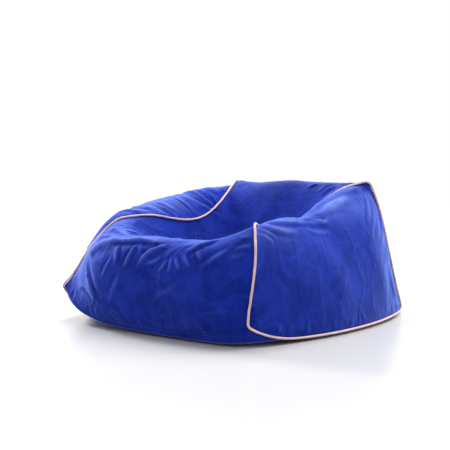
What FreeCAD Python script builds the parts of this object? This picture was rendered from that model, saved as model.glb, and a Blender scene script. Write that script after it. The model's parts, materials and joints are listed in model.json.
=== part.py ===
import FreeCAD, Part
import math
import os
from FreeCAD import Vector

# Bean bag lounge chair for a child: a boxy microsuede cover (two piped side panels, one panel that
# wraps over front, seat and back, and a floor panel), a loose zipped liner, and its bead filling.
# Millimetres. +Z is up and the seat opens to -Y. Right and left are as seen from in front of the
# bag, so the right-hand side is +X, at the left hand of somebody sitting in it.
# The origin lies on the floor, under the middle of the bag.

# ------------------------------------------------------------------ fabric and layer thicknesses
COVER = 1.5            # microsuede with its backing
LINER = 0.7            # woven liner cloth
LINER_DEPTH = 5.4      # outside of the liner, measured in from the outside of the cover
FILL_DEPTH = 6.7       # surface of the beads, measured the same way
SEAM_GAP = 0.3         # a panel's cut edge stops this far short of its seam line

# ------------------------------------------------------------------ piping
PIPING_R = 3.8         # outside of the fabric sleeve
SLEEVE = 0.6           # sleeve cloth
CORD_PLAY = 0.1        # between the filler cord and its sleeve
PIPING_STANDOFF = 1.3  # between the sleeve and the panels beside the seam

# ------------------------------------------------------------------ zips, straight along X
ZIP_HALF = 200.0       # half of the length that opens
COVER_ZIP_Z = 84.0     # height of the cover's zip on the back
LINER_ZIP_Z = 150.0    # height of the liner's zip, clear above the other
ROW_GAP = 0.5          # each coil row's distance from the middle, which the slider's post passes
COIL_W = 2.6
COIL_H = 1.8
TAPE_W = 14.5          # from the middle of the zip to the tape's outer edge
TAPE_T = 0.5
TAPE_CLEAR = 0.5       # between the fabric and the tape behind it
RUN_CLEAR = 0.3        # slider's clearance all round
PLATE_T = 1.1          # slider plates
POST_H = 0.8           # from the top plate to the bridge that the lock spring lies under
BRIDGE_T = 0.6
SLIDER_LEN = 10.0
SLIDER_HALF_W = 4.3
FLANGE_IN = 3.4
SLOT_HALF = 4.7        # half height of the slot in the fabric
STOP_LEN = 3.0
TAPE_TAIL = 16.0       # tape beyond the last coil
SLIDER_HOME = ZIP_HALF - SLIDER_LEN / 2 - 1.0

# ------------------------------------------------------------------ shape of the filled bag
# Stations of the wrap panel, from the front floor seam over the seat to the back floor seam:
# point on the right-hand piping, (y, z) on the centre line, point on the left-hand piping,
# and how far the panel has filled out to its centre height by the poles beside the right-hand
# and the left-hand piping.
FRONT = [
    ((375, -427, 59), (-455, 22), (-356, -423, 112), (0.80, 0.36)),
    ((383, -428, 115), (-490, 100), (-352, -385, 140), (0.65, 0.28)),
    ((400, -430, 190), (-482, 200), (-346, -352, 185), (0.60, 0.26)),
    ((400, -420, 270), (-455, 277), (-328, -318, 246), (0.55, 0.22)),
    ((366, -385, 332), (-410, 279), (-292, -250, 312), (0.55, 0.22)),
]
SEAT = [
    ((335, -335, 328), (-360, 281), (-268, -205, 320), (0.50, 0.28)),
    ((295, -250, 306), (-270, 235), (-246, -150, 327), (0.45, 0.45)),
    ((256, -150, 286), (-150, 150), (-225, -80, 310), (0.42, 0.42)),
    ((238, -50, 286), (-20, 140), (-212, 0, 298), (0.42, 0.42)),
    ((240, 40, 320), (100, 165), (-210, 85, 306), (0.42, 0.42)),
    ((256, 118, 382), (205, 280), (-218, 175, 350), (0.45, 0.45)),
    ((284, 205, 418), (280, 426), (-240, 265, 402), (0.55, 0.55)),
    ((318, 283, 434), (332, 428), (-268, 340, 430), (0.70, 0.70)),
]
BACK = [
    ((328, 312, 375), (380, 430), (-290, 368, 380), (0.85, 0.85)),
    ((338, 345, 290), (415, 330), (-312, 385, 285), (1.00, 1.00)),
    ((352, 362, 170), (436, 150), (-338, 395, 160), (1.00, 1.00)),
    ((376, 399, 14), (422, 22), (-360, 400, 16), (1.00, 1.00)),
]
INNER_FILL = 1.0       # the same for the pole between that one and the centre
NEAR_X = 0.90          # x of those two poles, as a share of the piping's x
INNER_X = 0.62

# Seams between the side panels and the floor panel, front to back, without their two ends.
RIGHT_FLOOR_SEAM = [
    (392, -395, 38), (412, -330, 16), (440, -220, 14), (458, -95, 13),
    (458, 50, 13), (445, 180, 13), (415, 310, 13),
]
LEFT_FLOOR_SEAM = [
    (-372, -395, 85), (-395, -330, 50), (-425, -220, 22), (-440, -95, 14),
    (-440, 50, 13), (-425, 180, 13), (-398, 310, 14),
]

# Poles that pull each side panel up and over its arm, front to back.
RIGHT_ARM = [
    (372, -345, 352), (348, -260, 386), (332, -165, 392), (320, -65, 372),
    (318, 30, 438), (326, 125, 462), (338, 215, 446),
]
LEFT_ARM = [
    (-332, -240, 350), (-334, -175, 372), (-332, -95, 406), (-334, -15, 434),
    (-334, 70, 446), (-328, 160, 454), (-310, 262, 442),
]
SIDE_LOW, SIDE_MID = 0.30, 0.65        # the two pole rows between floor seam and arm
SIDE_LOW_BULGE, SIDE_MID_BULGE = 45.0, 60.0
SIDE_END_SHARE = 0.45                  # share of that bulge beside the front and back edges

# Where the floor panel's poles stand, as shares of its width and of its length.
FLOOR_X = [0.0, 0.03, 0.20, 0.50, 0.80, 0.97, 1.0]
FLOOR_Y = [0.0, -0.015, 0.11, 0.30, 0.50, 0.68, 0.86, 0.99, 1.0]
CORNER_LIFT = {(1, 1): 62.0, (2, 1): 16.0, (1, 2): 34.0, (2, 2): 6.0}   # the raised front corner
PRESSED_X = (-235.0, 235.0)            # the area of the floor panel that bears on the floor
PRESSED_Y = (-12.0, 290.0)

DEGREE = 3
MITRE_LIMIT = 2.2
TUBE_SIDES = 6         # faces round a tube


# ------------------------------------------------------------------ nets of poles
def point(values):
    return Vector(*[float(value) for value in values])


def lerp(a, b, share):
    return a + (b - a) * share


def station_row(station):
    """Seven poles across the wrap panel, from the left-hand piping to the right-hand piping."""
    right, (y, z), left, (right_fill, left_fill) = station
    right, left = point(right), point(left)

    def pole(edge, x_share, fullness):
        middle = Vector(edge.x, y, z)
        target = lerp(edge, middle, fullness)
        return Vector(edge.x * x_share, target.y, target.z)

    return [
        left, pole(left, NEAR_X, left_fill), pole(left, INNER_X, INNER_FILL), Vector(0, y, z),
        pole(right, INNER_X, INNER_FILL), pole(right, NEAR_X, right_fill), right,
    ]


def wrap_net():
    return [station_row(station) for station in FRONT + SEAT + BACK]


def side_net(wrap, column, floor_seam, arm, outward):
    """Rows from the floor seam up to the arm, columns from front to back."""
    front = [row[column] for row in wrap[:len(FRONT)]]
    top = [row[column] for row in wrap[len(FRONT) - 1:len(FRONT) + len(SEAT)]]
    back = [row[column] for row in wrap[len(FRONT) + len(SEAT) - 1:]]
    back.reverse()
    bottom = [front[0]] + [point(values) for values in floor_seam] + [back[0]]
    low, middle, high = [front[1]], [front[2]], [front[3]]
    for index, values in enumerate(arm):
        crest = point(values)
        foot = bottom[index + 1]
        at_end = index in (0, len(arm) - 1)
        share = SIDE_END_SHARE if at_end else 1.0
        bulge = Vector(outward * share, 0, 0)
        low.append(lerp(foot, crest, SIDE_LOW) + bulge * SIDE_LOW_BULGE)
        middle.append(lerp(foot, crest, SIDE_MID) + bulge * SIDE_MID_BULGE)
        high.append(crest)
    low.append(back[1])
    middle.append(back[2])
    high.append(back[3])
    return [bottom, low, middle, high, top]


def floor_net(wrap, right_side, left_side):
    """Rows from front to back, columns from left to right. The middle is pressed to the floor."""
    front, back = wrap[0], wrap[-1]
    right, left = right_side[0], left_side[0]
    net = [front]
    for j in range(1, len(right) - 1):
        row = [left[j]]
        for i in range(1, len(front) - 1):
            x = left[j].x + (right[j].x - left[j].x) * FLOOR_X[i]
            y = front[i].y + (back[i].y - front[i].y) * FLOOR_Y[j]
            row.append(Vector(x, y, CORNER_LIFT.get((i, j), 0.0)))
        row.append(right[j])
        net.append(row)
    net.append(back)
    return net


def flat_underside(floor_sheet):
    """Gives the part of the floor panel that the beads press to the floor a plane face."""
    (x_low, x_high), (y_low, y_high) = PRESSED_X, PRESSED_Y
    corner = Vector(x_low, y_low, 0)
    half = Part.makeBox(x_high - x_low, y_high - y_low, COVER / 2, corner)
    cutter = Part.makeBox(x_high - x_low, y_high - y_low, 5 + COVER / 2, corner - Vector(0, 0, 5))
    return floor_sheet.cut(cutter).fuse(half)


# ------------------------------------------------------------------ layers
def net_normal(net, i, j, sign):
    above = net[min(i + 1, len(net) - 1)][j]
    below = net[max(i - 1, 0)][j]
    after = net[i][min(j + 1, len(net[i]) - 1)]
    before = net[i][max(j - 1, 0)]
    normal = (after - before).cross(above - below) * sign
    return normal.normalize()


def key(pole):
    return (round(pole.x, 3), round(pole.y, 3), round(pole.z, 3))


def mitres(panels):
    """For each pole, the vector that moves it out by one millimetre off every panel it belongs to."""
    gathered = {}
    for net, sign in panels:
        for i, row in enumerate(net):
            for j, pole in enumerate(row):
                gathered.setdefault(key(pole), []).append(net_normal(net, i, j, sign))
    vectors = {}
    for place, normals in gathered.items():
        total = Vector(0, 0, 0)
        for normal in normals:
            total = total + normal
        mitre = total * (len(normals) / total.dot(total))
        if mitre.Length > MITRE_LIMIT:
            mitre = mitre * (MITRE_LIMIT / mitre.Length)
        vectors[place] = mitre
    return vectors


def layer(net, vectors, depth):
    return [[pole - vectors[key(pole)] * depth for pole in row] for row in net]


def toward(pole, target, distance):
    step = target - pole
    return pole + step * (distance / step.Length)


def trimmed(net, gap):
    """The net with its four edges drawn in by the gap."""
    rows = [list(row) for row in net]
    for row in rows:
        row[0] = toward(row[0], row[1], gap)
        row[-1] = toward(row[-1], row[-2], gap)
    rows[0] = [toward(pole, rows[1][j], gap) for j, pole in enumerate(rows[0])]
    rows[-1] = [toward(pole, rows[-2][j], gap) for j, pole in enumerate(rows[-1])]
    return rows


# ------------------------------------------------------------------ surfaces and solids
def knots(count, degree):
    spans = count - degree
    multiplicities = [degree + 1] + [1] * (spans - 1) + [degree + 1]
    return multiplicities, [float(k) for k in range(spans + 1)]


def patch(net):
    """Face of a B-spline surface with these poles, straight across a net of two rows."""
    row_degree = min(DEGREE, len(net) - 1)
    u_mults, u_knots = knots(len(net), row_degree)
    v_mults, v_knots = knots(len(net[0]), DEGREE)
    surface = Part.BSplineSurface()
    surface.buildFromPolesMultsKnots(
        net, u_mults, v_mults, u_knots, v_knots, False, False, row_degree, DEGREE)
    return surface


def closed_solid(surfaces):
    faces = [surface.toShape() for surface in surfaces]
    shape = Part.makeCompound(faces)
    shape.sewShape()
    solid = Part.Solid(Part.Shell(shape.Faces))
    if solid.Volume < 0:
        solid.reverse()
    return solid


def split(net, breaks):
    return [net[a:b + 1] for a, b in zip(breaks[:-1], breaks[1:])]


def edge_strips(outer, inner, breaks):
    """The cut edges that join a panel's outer face to its inner face."""
    strips = [[outer[0], inner[0]], [outer[-1], inner[-1]]]
    for column in (0, -1):
        for a, b in zip(breaks[:-1], breaks[1:]):
            outside = [row[column] for row in outer[a:b + 1]]
            inside = [row[column] for row in inner[a:b + 1]]
            strips.append([outside, inside])
    return strips


def panel(net, vectors, depth, thickness, breaks=None):
    """Sheet of fabric between two depths under the bag's outer surface."""
    breaks = breaks or [0, len(net) - 1]
    outer = trimmed(layer(net, vectors, depth), SEAM_GAP)
    inner = trimmed(layer(net, vectors, depth + thickness), SEAM_GAP)
    nets = split(outer, breaks) + split(inner, breaks) + edge_strips(outer, inner, breaks)
    return closed_solid([patch(each) for each in nets])


# ------------------------------------------------------------------ piping
def seam_loop(side):
    """The four seams round a side panel, each a list of poles, going once round."""
    bottom, top = side[0], side[-1]
    front = [row[0] for row in side]
    back = [row[-1] for row in side]
    return [front, top, back[::-1], bottom[::-1]]


def loop_rings(side, vectors):
    """For each seam of the loop, a frame (centre, across, outward) at each of its poles."""
    seams = []
    for seam in seam_loop(side):
        centres = []
        for pole in seam:
            centres.append(pole + vectors[key(pole)] * (PIPING_R + PIPING_STANDOFF))
        seams.append((seam, centres))
    rings = []
    for index, (seam, centres) in enumerate(seams):
        before = seams[index - 1][1]
        after = seams[(index + 1) % len(seams)][1]
        frames = []
        for k, centre in enumerate(centres):
            previous = centres[k - 1] if k else before[-2]
            following = centres[k + 1] if k < len(centres) - 1 else after[1]
            arriving = (centre - previous).normalize()
            leaving = (following - centre).normalize()
            along = (arriving + leaving).normalize()
            out = Vector(vectors[key(seam[k])])
            out = (out - along * out.dot(along)).normalize()
            frames.append((centre, along.cross(out), out))
        rings.append(frames)
    return rings


def tube(rings, radius):
    """Closed tube round the loop, in faces that each turn through the same angle."""
    step = 2 * math.pi / TUBE_SIDES
    handle = 4 / 3 * math.tan(step / 4)

    def arc(frame, angle):
        centre, across, out = frame
        start = across * math.cos(angle) + out * math.sin(angle)
        start_way = out * math.cos(angle) - across * math.sin(angle)
        end = across * math.cos(angle + step) + out * math.sin(angle + step)
        end_way = out * math.cos(angle + step) - across * math.sin(angle + step)
        spokes = [start, start + start_way * handle, end - end_way * handle, end]
        return [centre + spoke * radius for spoke in spokes]

    surfaces = []
    for frames in rings:
        for side in range(TUBE_SIDES):
            surfaces.append(patch([arc(frame, side * step) for frame in frames]))
    return closed_solid(surfaces)


def piping(side, vectors):
    rings = loop_rings(side, vectors)
    sleeve = tube(rings, PIPING_R).cut(tube(rings, PIPING_R - SLEEVE))
    cord = tube(rings, PIPING_R - SLEEVE - CORD_PLAY)
    return sleeve, cord


# ------------------------------------------------------------------ zips
def zip_frame(surface, height):
    """Placement on the back panel's centre line: local x along -X, y up the panel, z outwards."""
    u_low, u_high, v_low, v_high = surface.bounds()
    v_middle = (v_low + v_high) / 2
    for _ in range(50):
        u = (u_low + u_high) / 2
        if surface.value(u, v_middle).z > height:
            u_low = u
        else:
            u_high = u
    out = surface.normal(u, v_middle)
    if out.y < 0:
        out = out * -1
    along = Vector(-1, 0, 0)
    up = out.cross(along)
    origin = surface.value(u, v_middle)
    origin.x = 0
    return FreeCAD.Placement(origin, FreeCAD.Rotation(along, up, out, "XZY"))


def block(x, y, z):
    """Box from three (low, high) pairs."""
    size = [high - low for low, high in (x, y, z)]
    return Part.makeBox(*size, Vector(x[0], y[0], z[0]))


def mirrored_pair(y):
    return (y, (-y[1], -y[0]))


def slider_body(top_low, tape_back):
    """Two plates joined by the post that parts the coils, guide flanges and a low bridge on top."""
    half = SLIDER_LEN / 2
    top = (top_low, top_low + PLATE_T)
    bottom = (tape_back - RUN_CLEAR - PLATE_T, tape_back - RUN_CLEAR)
    width = (-SLIDER_HALF_W, SLIDER_HALF_W)
    pieces = [block((-half, half), width, top), block((-half, half), width, bottom)]
    pieces.append(block((half - 3.0, half), (-0.2, 0.2), (bottom[1], top[0])))
    flange_low = tape_back + TAPE_T + RUN_CLEAR
    for side in mirrored_pair((FLANGE_IN, SLIDER_HALF_W)):
        pieces.append(block((-half, half), side, (flange_low, top[0])))
    for x in ((-half + 0.8, -half + 2.0), (half - 2.0, half - 0.8)):
        pieces.append(block(x, (-1.2, 1.2), (top[1], top[1] + POST_H)))
    pieces.append(block((-half + 0.8, half - 0.8), (-1.2, 1.2), (top[1] + POST_H, top[1] + POST_H + BRIDGE_T)))
    body = pieces[0].multiFuse(pieces[1:]).removeSplitter()
    return body


def lock_spring(top_low):
    """Flat spring under the bridge, which holds the slider where it is left."""
    half = SLIDER_LEN / 2
    base = top_low + PLATE_T + 0.1
    return block((-half + 2.1, half - 2.1), (-0.8, 0.8), (base, base + 0.4))


def zip_parts(name, surface, height, depth, fabric):
    """The zip's pieces by node name, and the cutter for its slot."""
    frame = zip_frame(surface, height)
    frame.move(frame.Rotation.multVec(Vector(0, 0, -depth)))
    tape_front = -fabric - TAPE_CLEAR
    tape_back = tape_front - TAPE_T
    coil = (tape_front + 0.02, tape_front + 0.02 + COIL_H)
    run = (-ZIP_HALF, ZIP_HALF)
    tail = (-ZIP_HALF - TAPE_TAIL, ZIP_HALF + TAPE_TAIL)
    rows = mirrored_pair((ROW_GAP, ROW_GAP + COIL_W))
    parts = {}
    for label, row, tape in zip(("upper", "lower"), rows, mirrored_pair((ROW_GAP, TAPE_W))):
        parts[f"{name}_{label}_tape"] = block(tail, tape, (tape_back, tape_front))
        parts[f"{name}_{label}_coil"] = block(run, row, coil)
    stop_z = (coil[0], coil[1] + 0.4)
    start = (-ZIP_HALF - 0.2 - STOP_LEN, -ZIP_HALF - 0.2)
    end = (ZIP_HALF + 0.2, ZIP_HALF + 0.2 + STOP_LEN)
    width = ROW_GAP + COIL_W
    parts[f"{name}_bottom_stop"] = block(start, (-width, width), stop_z)
    parts[f"{name}_top_stops"] = Part.makeCompound([block(end, row, stop_z) for row in rows])
    top_low = max(0.0, coil[1]) + RUN_CLEAR + 0.05
    parts[f"{name}_slider"] = slider_body(top_low, tape_back)
    parts[f"{name}_lock_spring"] = lock_spring(top_low)
    for label in ("slider", "lock_spring"):
        parts[f"{name}_{label}"].translate(Vector(SLIDER_HOME, 0, 0))
    slot_half = ZIP_HALF + STOP_LEN + 1.0
    slot = block((-slot_half, slot_half), (-SLOT_HALF, SLOT_HALF), (tape_front, 8.0))
    groove_depth = tape_back - RUN_CLEAR - PLATE_T - 1.0
    groove_half = ZIP_HALF + TAPE_TAIL + 2.0
    groove = block((-groove_half, groove_half), (-TAPE_W - 1.5, TAPE_W + 1.5), (groove_depth, 3.0))
    for shape in list(parts.values()) + [slot, groove]:
        shape.Placement = frame.multiply(shape.Placement)
    return parts, slot, groove


# ------------------------------------------------------------------ the whole bag
def build():
    wrap = wrap_net()
    right = side_net(wrap, -1, RIGHT_FLOOR_SEAM, RIGHT_ARM, 1)
    left = side_net(wrap, 0, LEFT_FLOOR_SEAM, LEFT_ARM, -1)
    floor = floor_net(wrap, right, left)
    vectors = mitres([(wrap, 1), (right, 1), (left, -1), (floor, -1)])
    front_rim = len(FRONT) - 1
    back_rim = front_rim + len(SEAT)
    wrap_breaks = [0, front_rim, back_rim, len(wrap) - 1]

    back_surface = patch(wrap[back_rim:])
    cover_zip, cover_slot, _ = zip_parts("cover_zip", back_surface, COVER_ZIP_Z, 0.0, COVER)
    liner_zip, liner_slot, groove = zip_parts(
        "liner_zip", back_surface, LINER_ZIP_Z, LINER_DEPTH, LINER)

    parts = {}
    parts["wrap_panel"] = panel(wrap, vectors, 0.0, COVER, wrap_breaks).cut(cover_slot)
    parts["right_side_panel"] = panel(right, vectors, 0.0, COVER)
    parts["left_side_panel"] = panel(left, vectors, 0.0, COVER)
    parts["floor_panel"] = flat_underside(panel(floor, vectors, 0.0, COVER))
    for name, side in (("right", right), ("left", left)):
        sleeve, cord = piping(side, vectors)
        parts[f"{name}_piping_sleeve"] = sleeve
        parts[f"{name}_piping_cord"] = cord
    parts["liner_wrap"] = panel(wrap, vectors, LINER_DEPTH, LINER, wrap_breaks).cut(liner_slot)
    parts["liner_right_side"] = panel(right, vectors, LINER_DEPTH, LINER)
    parts["liner_left_side"] = panel(left, vectors, LINER_DEPTH, LINER)
    parts["liner_floor"] = panel(floor, vectors, LINER_DEPTH, LINER)
    parts.update(cover_zip)
    parts.update(liner_zip)
    nets = split(layer(wrap, vectors, FILL_DEPTH), wrap_breaks)
    nets += [layer(net, vectors, FILL_DEPTH) for net in (right, left, floor)]
    parts["bead_fill"] = closed_solid([patch(net) for net in nets]).cut(groove)
    return parts


def main():
    os.makedirs("parts", exist_ok=True)
    for name, shape in build().items():
        shape.exportStep(f"parts/{name}.step")
        box = shape.BoundBox
        print(
            f"{name:24s} solids {len(shape.Solids)} valid {shape.isValid()}"
            f" volume {shape.Volume / 1000:10.2f} cm3"
            f" x {box.XMin:7.1f} {box.XMax:7.1f} y {box.YMin:7.1f} {box.YMax:7.1f}"
            f" z {box.ZMin:6.1f} {box.ZMax:6.1f}")


main()
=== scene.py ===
import json
import math

import bpy
import numpy as np
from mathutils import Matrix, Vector
from mathutils.kdtree import KDTree


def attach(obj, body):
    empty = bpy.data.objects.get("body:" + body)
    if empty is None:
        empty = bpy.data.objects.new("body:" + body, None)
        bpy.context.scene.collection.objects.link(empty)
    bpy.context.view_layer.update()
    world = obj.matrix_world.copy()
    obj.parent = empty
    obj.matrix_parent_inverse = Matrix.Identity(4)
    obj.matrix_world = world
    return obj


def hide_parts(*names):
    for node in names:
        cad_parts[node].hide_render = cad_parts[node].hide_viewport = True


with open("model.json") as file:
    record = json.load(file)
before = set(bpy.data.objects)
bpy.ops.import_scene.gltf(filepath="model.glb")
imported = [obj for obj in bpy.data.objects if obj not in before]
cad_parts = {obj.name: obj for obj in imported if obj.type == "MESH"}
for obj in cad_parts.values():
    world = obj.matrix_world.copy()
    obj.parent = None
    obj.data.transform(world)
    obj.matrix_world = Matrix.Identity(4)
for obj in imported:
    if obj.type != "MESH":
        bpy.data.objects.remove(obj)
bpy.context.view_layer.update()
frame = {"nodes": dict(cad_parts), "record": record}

# Looks of the bean bag lounge chair. Lengths are metres, in the frame's own axes: +Z is up, the seat
# opens to -Y, and the bag rests on z = 0. The nets of poles are those of the CAD panels.

MM = 0.001
SEED = 7

# ------------------------------------------------------------------ shape of the filled bag (mm)
# Stations of the wrap panel, from the front floor seam over the seat to the back floor seam:
# right-hand piping, (y, z) on the centre line, left-hand piping, and how far the panel has filled
# out to its centre height by the poles beside the right-hand and the left-hand piping.
FRONT = [
    ((375, -427, 59), (-455, 22), (-356, -423, 112), (0.80, 0.36)),
    ((383, -428, 115), (-490, 100), (-352, -385, 140), (0.65, 0.28)),
    ((400, -430, 190), (-482, 200), (-346, -352, 185), (0.60, 0.26)),
    ((400, -420, 270), (-455, 277), (-328, -318, 246), (0.55, 0.22)),
    ((366, -385, 332), (-410, 279), (-292, -250, 312), (0.55, 0.22)),
]
SEAT = [
    ((335, -335, 328), (-360, 281), (-268, -205, 320), (0.50, 0.28)),
    ((295, -250, 306), (-270, 235), (-246, -150, 327), (0.45, 0.45)),
    ((256, -150, 286), (-150, 150), (-225, -80, 310), (0.42, 0.42)),
    ((238, -50, 286), (-20, 140), (-212, 0, 298), (0.42, 0.42)),
    ((240, 40, 320), (100, 165), (-210, 85, 306), (0.42, 0.42)),
    ((256, 118, 382), (205, 280), (-218, 175, 350), (0.45, 0.45)),
    ((284, 205, 418), (280, 426), (-240, 265, 402), (0.55, 0.55)),
    ((318, 283, 434), (332, 428), (-268, 340, 430), (0.70, 0.70)),
]
BACK = [
    ((328, 312, 375), (380, 430), (-290, 368, 380), (0.85, 0.85)),
    ((338, 345, 290), (415, 330), (-312, 385, 285), (1.00, 1.00)),
    ((352, 362, 170), (436, 150), (-338, 395, 160), (1.00, 1.00)),
    ((376, 399, 14), (422, 22), (-360, 400, 16), (1.00, 1.00)),
]
INNER_FILL = 1.0
NEAR_X = 0.90
INNER_X = 0.62

RIGHT_FLOOR_SEAM = [
    (392, -395, 38), (412, -330, 16), (440, -220, 14), (458, -95, 13),
    (458, 50, 13), (445, 180, 13), (415, 310, 13),
]
LEFT_FLOOR_SEAM = [
    (-372, -395, 85), (-395, -330, 50), (-425, -220, 22), (-440, -95, 14),
    (-440, 50, 13), (-425, 180, 13), (-398, 310, 14),
]
RIGHT_ARM = [
    (372, -345, 352), (348, -260, 386), (332, -165, 392), (320, -65, 372),
    (318, 30, 438), (326, 125, 462), (338, 215, 446),
]
LEFT_ARM = [
    (-332, -240, 350), (-334, -175, 372), (-332, -95, 406), (-334, -15, 434),
    (-334, 70, 446), (-328, 160, 454), (-310, 262, 442),
]
SIDE_LOW, SIDE_MID = 0.30, 0.65
SIDE_LOW_BULGE, SIDE_MID_BULGE = 45.0, 60.0
SIDE_END_SHARE = 0.45
FLOOR_X = [0.0, 0.03, 0.20, 0.50, 0.80, 0.97, 1.0]
FLOOR_Y = [0.0, -0.015, 0.11, 0.30, 0.50, 0.68, 0.86, 0.99, 1.0]
CORNER_LIFT = {(1, 1): 62.0, (2, 1): 16.0, (1, 2): 34.0, (2, 2): 6.0}

# ------------------------------------------------------------------ mesh density
# Samples are odd numbers, so that every second one makes the coarser mesh for the cloth simulation.
UP = 101           # up the front, the back and the sides
ALONG = 257        # from front rim to back rim
ACROSS = 205       # from side to side

COVER = 1.5 * MM
SEAM_GAP = 0.4 * MM
PIPING_R = 3.3 * MM
SLEEVE = 0.6 * MM
PIPING_SINK = 0.86     # how far the piping stands off the seam, as a share of resting on both panels

# Zips on the back, as the CAD model has them.
ZIP_HALF = 200.0 * MM
SLOT_END = 204.0 * MM
SLOT_HALF = 4.7 * MM
COVER_ZIP_Z, LINER_ZIP_Z = 84.0 * MM, 150.0 * MM
ROW_HALF_GAP = 0.5 * MM
COIL_HALF_W, COIL_HALF_H = 1.3 * MM, 0.9 * MM
COIL_BACK = 1.98 * MM      # inner side of the coils, under the cover's face
COIL_PITCH, COIL_THREAD = 2.0 * MM, 0.62 * MM
ZIPS_BOX = (-0.222, 0.36, 0.062), (0.222, 0.50, 0.170)
LINER_ZIP_BOX = (-0.222, 0.36, 0.130), (0.222, 0.50, 0.170)

LINER = 0.7 * MM
LINER_DEPTH = 5.4 * MM     # beside the zips
SLACK_DEPTH = 9.0 * MM     # elsewhere, clear of the folds
UNDER_FOLD = 4.0 * MM      # between a sunk fold and the liner
FILL_BELOW = 2.2 * MM      # beads under the liner
FILL_BELOW_ZIP = 6.5 * MM
CORNER_PLAY = 9.0 * MM     # the liner doesn't fill the cover's corners

PRESSED_BOX = (-0.17, -0.43, 0.12), (0.17, 0.12, 0.30)
CORNER_PASSES = 28         # rounds of smoothing on the corners of the side panels
CORNER_REACH = 55.0 * MM   # the cloth within it follows a corner
FOLD_GAIN = 1.7            # on the heights of FOLDS
DEEPEST = 4.0 * MM         # valleys go no deeper

# Cloth simulation of the cover's slack.
SIM_HOLD, SIM_HOLD_SEAM = 0.62, 0.90
SIM_GRAVITY = 0.25
SIM_FRAMES = 22
SIM_MOST = 8.0 * MM        # no point moves further along an axis
SIM_SETTINGS = {
    "quality": 6, "mass": 0.2, "air_damping": 2.0,
    "tension_stiffness": 18.0, "compression_stiffness": 18.0, "shear_stiffness": 8.0,
    "bending_stiffness": 3.0, "tension_damping": 8.0, "compression_damping": 8.0, "bending_damping": 2.0,
    "vertex_group_mass": "hold", "pin_stiffness": 0.03,
    "vertex_group_shrink": "slack", "shrink_min": 0.0, "shrink_max": -0.15,   # negative: the cloth grows
    "use_pressure": True, "uniform_pressure_force": 12.0,
}


# ------------------------------------------------------------------ nets of poles
def lerp(a, b, share):
    return a + (b - a) * share


def station_row(station):
    right, (y, z), left, (right_fill, left_fill) = station
    right, left = np.array(right, float), np.array(left, float)

    def pole(edge, x_share, fullness):
        target = lerp(edge, np.array((edge[0], y, z)), fullness)
        return np.array((edge[0] * x_share, target[1], target[2]))

    return np.array([
        left, pole(left, NEAR_X, left_fill), pole(left, INNER_X, INNER_FILL), (0, y, z),
        pole(right, INNER_X, INNER_FILL), pole(right, NEAR_X, right_fill), right,
    ])


def side_net(wrap, column, floor_seam, arm, outward):
    rim, back_rim = len(FRONT) - 1, len(FRONT) + len(SEAT) - 1
    front, top, back = wrap[:rim + 1, column], wrap[rim:back_rim + 1, column], wrap[back_rim:, column][::-1]
    crest, foot = np.array(arm, float), np.array(floor_seam, float)
    share = np.ones((len(arm), 1))
    share[0], share[-1] = SIDE_END_SHARE, SIDE_END_SHARE
    bulge = np.array((outward, 0, 0)) * share
    rows = [foot, lerp(foot, crest, SIDE_LOW) + bulge * SIDE_LOW_BULGE,
            lerp(foot, crest, SIDE_MID) + bulge * SIDE_MID_BULGE, crest]
    rows = [np.vstack([front[i], row, back[i]]) for i, row in enumerate(rows)]
    return np.array(rows + [top])


def floor_net(wrap, right, left):
    front, back = wrap[0], wrap[-1]
    net = [front]
    for j in range(1, right.shape[1] - 1):
        row = [left[0, j]]
        for i in range(1, len(front) - 1):
            x = lerp(left[0, j, 0], right[0, j, 0], FLOOR_X[i])
            y = lerp(front[i, 1], back[i, 1], FLOOR_Y[j])
            row.append(np.array((x, y, CORNER_LIFT.get((i, j), 0.0))))
        net.append(row + [right[0, j]])
    return np.array(net + [back])


# ------------------------------------------------------------------ B-spline sampling
def basis(count, where):
    """Weights of the poles of a clamped uniform cubic B-spline, at places from 0 to 1."""
    degree, spans = 3, count - 3
    knots = np.concatenate([[0] * degree, np.arange(spans + 1), [spans] * degree]).astype(float)
    t = np.clip(np.asarray(where, float) * spans, 0, spans - 1e-9)
    weights = np.array([(knots[i] <= t) & (t < knots[i + 1]) for i in range(len(knots) - 1)], float)
    for d in range(1, degree + 1):
        following = np.zeros((len(weights) - 1, len(t)))
        for i in range(len(following)):
            if knots[i + d] > knots[i]:
                following[i] += (t - knots[i]) / (knots[i + d] - knots[i]) * weights[i]
            if knots[i + d + 1] > knots[i + 1]:
                following[i] += (knots[i + d + 1] - t) / (knots[i + d + 1] - knots[i + 1]) * weights[i + 1]
        weights = following
    return weights.T


def even_places(net_lines, samples):
    """Places from 0 to 1 that are evenly spaced along the mean of several rows of poles."""
    fine = np.linspace(0, 1, 400)
    length = np.zeros(len(fine))
    for line in net_lines:
        points = basis(len(line), fine) @ line
        steps = np.linalg.norm(np.diff(points, axis=0), axis=1)
        length[1:] += np.cumsum(steps) / steps.sum()
    return np.interp(np.linspace(0, length[-1], samples), length, fine)


def surface(net, rows, columns):
    return np.einsum("ri,cj,ijk->rck", basis(net.shape[0], rows), basis(net.shape[1], columns), net) * MM


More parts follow.
